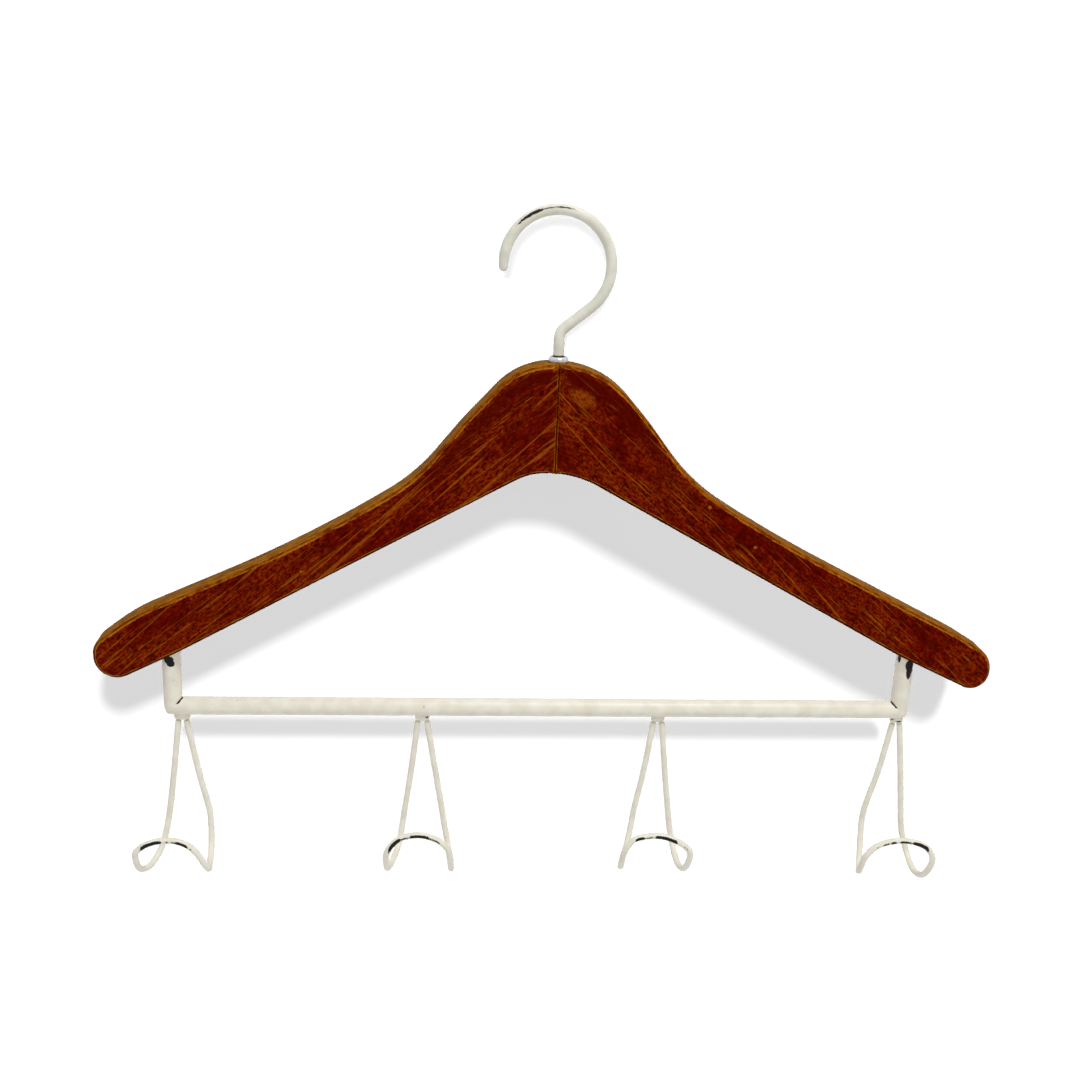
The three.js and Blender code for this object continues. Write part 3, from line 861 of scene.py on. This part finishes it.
hook = sweep(
    "swivel_hook_wire",
    top_hook_path(),
    HOOK_WIRE / 2,
    HOOK_PAINT_WITH_SHADE,
    ring_chip,
    sides=36,
    lump=0.06,
    ends=(2.3, 0.4),
    taper=(9, 0.8),
    # The stem is marked for painted shade from just above the crown down, in the ferrule's bore
    bore_shade_below=CROWN_Z + 3.1,
    seed=4,
)
finish_piece(hook, "hook", "cream_paint", "swivel_hook")


# ------------------------------------------------------------------ ferrule
flange_low, flange_high = cad_mm("hook_ferrule")
flange = (flange_high.x - flange_low.x) / 2
proud = flange_high.z - CROWN_Z
barrel, bore_radius, lip = 3.65, 2.95, 3.3
under, shoulder, brim = 0.25, 1.1, 0.3  # radii of the flange's three rounded edges
ferrule_profile = [
    (bore_radius, flange_low.z - CROWN_Z),
    (barrel, flange_low.z - CROWN_Z),
    (barrel, GAP),
    (flange - under, GAP),
]
for k in range(5):
    s, c = math.sin(k / 4 * math.pi / 2), math.cos(k / 4 * math.pi / 2)
    ferrule_profile.append((flange - under + under * s, GAP + under - under * c))
for k in range(9):
    s, c = math.sin(k / 8 * math.pi / 2), math.cos(k / 8 * math.pi / 2)
    ferrule_profile.append((flange - shoulder + shoulder * c, proud - shoulder + shoulder * s))
for k in range(7):
    s, c = math.sin(k / 6 * math.pi / 2), math.cos(k / 6 * math.pi / 2)
    ferrule_profile.append((lip - brim * s, proud - brim + brim * c))
ferrule_profile += [(2.99, proud - 1.6), (bore_radius, proud - 1.7)]
ferrule_sides = 64
# Painted shade in the bore, round the stem, where little light gets in
bore_shade = [float(radius < 3.1) for radius, _ in ferrule_profile for _ in range(ferrule_sides)]
ferrule = turned(
    "hook_ferrule_bright", ferrule_profile, ZINC, ferrule_sides, (0, 0, CROWN_Z), {"bore_shade": bore_shade}
)
finish_piece(ferrule, "rack", "zinc_plate", "hook_ferrule")


# ------------------------------------------------------------------ tube frame
def soften_corner(point):
    """Rounds the outside of the two mitred corners, as the weld there was ground smooth."""
    start, keep = 3.4, 0.4
    for side in (-1, 1):
        outward = Vector((side, 0, -1)).normalized()
        reach = (point - Vector((side * CORNER_X, 0, RAIL_Z))).dot(outward)
        if reach > start and (point.x * side) > CORNER_X - 8 and point.z < RAIL_Z + 8:
            point = point + outward * (start - reach) * (1 - keep)
    return point


FRAME_CHIPS = (
    # left post, where it enters the wood
    ((-182.6, -4.2, -214.6), (2.5, 2.6, 2.0)),
    ((-181.6, -4.2, -216.6), (1.9, 2.2, 1.6)),
    # right post
    ((183.6, -3.8, -214.2), (2.6, 2.6, 3.4)),
    ((183.4, -4.2, -218), (1.5, 2, 3.8)),
    ((184.6, -3.6, -216.4), (1.0, 2, 2.4)),
    ((178.2, -2.6, -211.4), (0.7, 1.6, 1.8)),
)


def mitred_tube(name, along, start, end, sides=40, step=0.9, seed=0):
    """A tube whose ring at share t of its length sits at along(t, across, depth)."""
    length = abs(end - start)
    rows = math.ceil(length / step)
    verts, chips, rings = [], [], []
    for i in range(rows + 1):
        ring = []
        for k in range(sides):
            turn = 2 * math.pi * k / sides
            across, depth = TUBE / 2 * math.cos(turn), TUBE / 2 * math.sin(turn)
            place = soften_corner(Vector(along(i / rows, across, depth)))
            lump = wobble(place, 7, seed) * 0.05 + wobble(place, 2.5, seed + 1) * 0.025
            hub = Vector(along(i / rows, 0, 0))
            place += (place - hub).normalized() * (lump - 0.075)
            ring.append(len(verts))
            verts.append(place)
            chips.append(chip_depth(place, FRAME_CHIPS))
        rings.append(ring)
    faces = loft(rings)
    faces += [tuple(rings[0]), tuple(rings[-1][::-1])]
    tube = make_object(name, verts, faces, {"chip": chips}, PAINT)
    face_outwards(tube)
    return tube


def rail_point(t, across, depth):
    """A point of the rail, where across is up and each end is cut at 45 degrees."""
    left, right = -CORNER_X + across, CORNER_X - across
    return left + (right - left) * t, depth, RAIL_Z + across


rail = mitred_tube("rail_tube_skin", rail_point, -CORNER_X, CORNER_X, seed=11)
finish_piece(rail, "rack", "cream_paint", "rail_tube")

for post_side, post_name in ((-1, "post_left"), (1, "post_right")):
    post_top = cad_mm(post_name)[1].z

    def post_point(t, across, depth, side=post_side, top=post_top):
        low = RAIL_Z - side * across
        return side * CORNER_X + across, depth, low + (top - low) * t

    post = mitred_tube(f"{post_name}_skin", post_point, RAIL_Z, post_top, seed=14 + post_side)
    finish_piece(post, "rack", "cream_paint", post_name)


# ------------------------------------------------------------------ coat hooks
def smooth_curve(points, step=0.6):
    """A centripetal Catmull-Rom curve through the points, as the CAD's, at most about step apart."""
    before = points[0] * 2 - points[1]
    after = points[-1] * 2 - points[-2]
    whole = [before, *points, after]
    line = []
    for i in range(1, len(whole) - 2):
        p = whole[i - 1 : i + 3]
        knots = [0.0]
        for a, b in zip(p, p[1:]):
            knots.append(knots[-1] + math.sqrt((b - a).length))
        count = math.ceil((p[2] - p[1]).length / step)
        for k in range(count):
            t = knots[1] + (knots[2] - knots[1]) * k / count
            a1, a2, a3 = (
                p[j].lerp(p[j + 1], (t - knots[j]) / (knots[j + 1] - knots[j])) for j in range(3)
            )
            b1 = a1.lerp(a2, (t - knots[0]) / (knots[2] - knots[0]))
            b2 = a2.lerp(a3, (t - knots[1]) / (knots[3] - knots[1]))
            line.append(b1.lerp(b2, (t - knots[1]) / (knots[2] - knots[1])))
    return [*line, points[-1]]


# Paint knocked off the front of each tip: (from x, to x, half width, how solid).
ARCH_CHIPS = (
    (
        (-194.3, -184.5, 0.9, 0.2),
        (-182.1, -181.2, 0.4, 0.05),
        (-179.5, -176.5, 0.4, 0.05),
        (-177.4, -172, 0.75, 0.15),
        (-170.9, -170.2, 0.35, 0.05),
    ),
    ((-75.8, -70.2, 1, 0.2), (-70.2, -65.9, 0.35, 0), (-65.4, -56.2, 0.8, 0.18), (-56.2, -50.8, 0.35, 0.03)),
    (
        (45.4, 49.9, 0.8, 0.15),
        (49.9, 53.9, 0.3, 0),
        (55.4, 66.3, 0.85, 0.2),
        (70, 70.7, 0.35, 0.05),
        (71.2, 71.9, 0.35, 0.05),
    ),
    (
        (167.6, 168.3, 0.3, 0.02),
        (170.8, 173.8, 0.4, 0.03),
        (174.6, 177.4, 0.6, 0.1),
        (179.2, 184.1, 0.55, 0.1),
        (184.1, 186.2, 0.3, 0),
        (186.2, 194.4, 0.95, 0.2),
    ),
)

for number, (hook_x, bends) in enumerate(HOOKS.items(), 1):
    base = Vector((hook_x, 0, RAIL_Z))
    line = smooth_curve([base + Vector(point) for point in bends])
    chips_here = ARCH_CHIPS[number - 1]

    def arch_chip(place, outward, chips=chips_here):
        if place.y > -29:
            return -9
        off = COAT_WIRE / 2 * math.acos(max(-1, min(1, outward.dot(Vector((0, -0.995, -0.1))))))
        best = -9
        for start, end, width, solid in chips:
            middle, half = (start + end) / 2, (end - start) / 2
            reach = abs(place.x - middle)
            # Rounded at both ends, with straight sides between
            beyond = max(0, reach - half + width) / width
            best = max(best, (1 - math.hypot(beyond, off / width)) * width + solid)
        return best

    wire = sweep(
        f"coat_hook_{number}_wire",
        line,
        COAT_WIRE / 2 - SLACK,
        PAINT,
        arch_chip,
        sides=28,
        lump=0.05,
        ends=(0.4, 0.4),
        seed=20 + number,
    )
    finish_piece(wire, "rack", "cream_paint", f"coat_hook_{number}")


# ------------------------------------------------------------------ welds
WELD_SPOTS = (
    ((-58.0, -1.9, -245.2), (0.75, 0.8, 0.6)),
    ((178.4, -1.6, -245.2), (1.5, 1.0, 0.45)),
    ((182.6, -1.6, -246.2), (1.6, 1.0, 0.35)),
)
WELD_HALF_HEIGHT = 2.1


def signed_power(value, exponent):
    return math.copysign(abs(value) ** exponent, value)


def weld_blob(name, node, seed):
    """A smooth bead of weld under the rail, lumpy and wider than it is deep."""
    low, high = cad_mm(node)
    centre = Vector(((low.x + high.x) / 2, 0, low.z + WELD_HALF_HEIGHT))
    radii = Vector(((high.x - low.x) / 2, (high.y - low.y) / 2, WELD_HALF_HEIGHT))
    rows, sides = 20, 36
    verts, rings, chips = [], [], []
    for i in range(rows + 1):
        v = (i / rows - 0.5) * math.pi
        ring = []
        for k in range(sides):
            u = 2 * math.pi * k / sides
            level = signed_power(math.cos(v), 0.7)
            direction = Vector(
                (
                    level * signed_power(math.cos(u), 0.7),
                    level * signed_power(math.sin(u), 0.7),
                    signed_power(math.sin(v), 0.8),
                )
            )
            place = centre + Vector([a * b for a, b in zip(direction, radii)])
            place = centre + (place - centre) * (0.95 + 0.05 * wobble(place, 1.8, seed))
            ring.append(len(verts))
            verts.append(place)
            chips.append(chip_depth(place, WELD_SPOTS))
        rings.append(ring)
    return make_object(name, verts, loft(rings), {"chip": chips}, PAINT, smooth_angle=60)


for number in range(1, 5):
    blob = weld_blob(f"hook_weld_{number}_bead", f"hook_weld_{number}", 30 + number)
    finish_piece(blob, "rack", "cream_paint", f"hook_weld_{number}")


# ------------------------------------------------------------------ CAD pieces that stay
for material, nodes in (
    (BEECH, ("crown_dowel_upper", "crown_dowel_lower")),
    (STEEL, ("hook_washer", "hook_nut", "post_screw_left", "post_screw_right")),
):
    for node in nodes:
        for material_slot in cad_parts[node].material_slots:
            material_slot.material = material


# ------------------------------------------------------------------ stage, light and camera
def stage_plane(name, corners, material):
    mesh = bpy.data.meshes.new(name)
    mesh.from_pydata(corners, [], [(0, 1, 2, 3)])
    mesh.materials.append(material)
    plane = bpy.data.objects.new(name, mesh)
    bpy.context.scene.collection.objects.link(plane)
    return plane


# Lengths from here on are in metres. The wall is clear of the top hook however it is turned.
WALL_CLEARANCE = 2 * MM
WALL_ALBEDO = 0.053
FLOOR_DROP = 0.25
wall_y = (LOOP_RADIUS - LOOP_OFFSET + HOOK_WIRE / 2) * MM + WALL_CLEARANCE
floor_z = cad_box[0].z - FLOOR_DROP
reach = 5.0
wall = stage_plane(
    "wall",
    [(-reach, wall_y, floor_z), (reach, wall_y, floor_z), (reach, wall_y, reach), (-reach, wall_y, reach)],
    stage_material("pale_wall", (WALL_ALBEDO, WALL_ALBEDO, WALL_ALBEDO, 1), see_through_back=True),
)
# Only the camera sees the wall, so it takes the object's shadow but lets light reach the object's back.
wall.visible_diffuse = False
wall.visible_glossy = False
wall.visible_shadow = False
wall.visible_transmission = False
stage_plane(
    "floor",
    [(-reach, -reach, floor_z), (reach, -reach, floor_z), (reach, reach, floor_z), (-reach, reach, floor_z)],
    stage_material("pale_floor", (0.86, 0.86, 0.86, 1)),
)

world = bpy.data.worlds.new("studio")
world.use_nodes = True
background = world.node_tree.nodes["Background"]
background.inputs["Color"].default_value = (1, 1, 1, 1)
background.inputs["Strength"].default_value = 0.71
bpy.context.scene.world = world

KEY_DISTANCE = 1.5
key = bpy.data.lights.new("key", "AREA")
key.shape = "DISK"
key.size = 0.3
key.energy = 11
key_light = bpy.data.objects.new("key", key)
key_back = Vector((0.2, -0.37, 0.93)).normalized()
key_light.location = (cad_box[0] + cad_box[1]) / 2 + key_back * KEY_DISTANCE
key_light.rotation_euler = key_back.to_track_quat("Z", "Y").to_euler()
bpy.context.scene.collection.objects.link(key_light)


def wall_light(name, towards, size, brightness, blockers):
    """A soft far light, size degrees across, for the wall alone. Only the blockers keep it off the wall.

    brightness is what it adds to the wall, where 1 is white.
    """
    towards = Vector(towards).normalized()
    lamp = bpy.data.lights.new(name, "SUN")
    lamp.angle = size * DEG
    lamp.energy = brightness * math.pi / (WALL_ALBEDO * -towards.y)
    obj = bpy.data.objects.new(name, lamp)
    obj.rotation_euler = towards.to_track_quat("Z", "Y").to_euler()
    bpy.context.scene.collection.objects.link(obj)
    for link, objects in (("receiver", (wall,)), ("blocker", blockers)):
        linked = bpy.data.collections.new(f"{name}_{link}s")
        for member in objects:
            linked.objects.link(member)
        setattr(obj.light_linking, f"{link}_collection", linked)


# Each part has its own light, so that its shadow falls at its own distance, as on a nearer wall. Together
# they just make the wall white.
wall_light("wall_light_wood", (0.208, -1, 0.97), 8, 0.4, arms)
wall_light("wall_light_rail", (0.0, -1, 0.84), 7, 0.37, (rail,))
wall_light("wall_light_hook", (-0.12, -1, 0.23), 6, 0.24, (hook, ferrule))

CAMERA_AZIMUTH = -4.69
CAMERA_ELEVATION = 17.174
CAMERA_ROLL = 2.276
CAMERA_DISTANCE = 0.65
CAMERA_TARGET = Vector((-5.149, 0, -152.5)) * MM
CAMERA_LENS = 45.03
SENSOR_WIDTH = 36
a, e, r = CAMERA_AZIMUTH * DEG, CAMERA_ELEVATION * DEG, CAMERA_ROLL * DEG
back = Vector((math.sin(a) * math.cos(e), -math.cos(a) * math.cos(e), math.sin(e)))
right = (-back).cross(Vector((0, 0, 1))).normalized()
upward = right.cross(-back)
rolled_right = right * math.cos(r) + upward * math.sin(r)
rolled_up = upward * math.cos(r) - right * math.sin(r)
camera_data = bpy.data.cameras.new("camera")
camera_data.sensor_width = SENSOR_WIDTH
camera_data.lens = CAMERA_LENS
camera_data.clip_start = 0.01
camera_data.clip_end = 50
camera = bpy.data.objects.new("camera", camera_data)
camera.matrix_world = Matrix(
    (
        (rolled_right.x, rolled_up.x, back.x, 0),
        (rolled_right.y, rolled_up.y, back.y, 0),
        (rolled_right.z, rolled_up.z, back.z, 0),
        (0, 0, 0, 1),
    )
)
camera.location = CAMERA_TARGET + back * CAMERA_DISTANCE
bpy.context.scene.collection.objects.link(camera)
bpy.context.scene.camera = camera
bpy.context.scene.view_settings.view_transform = "Standard"
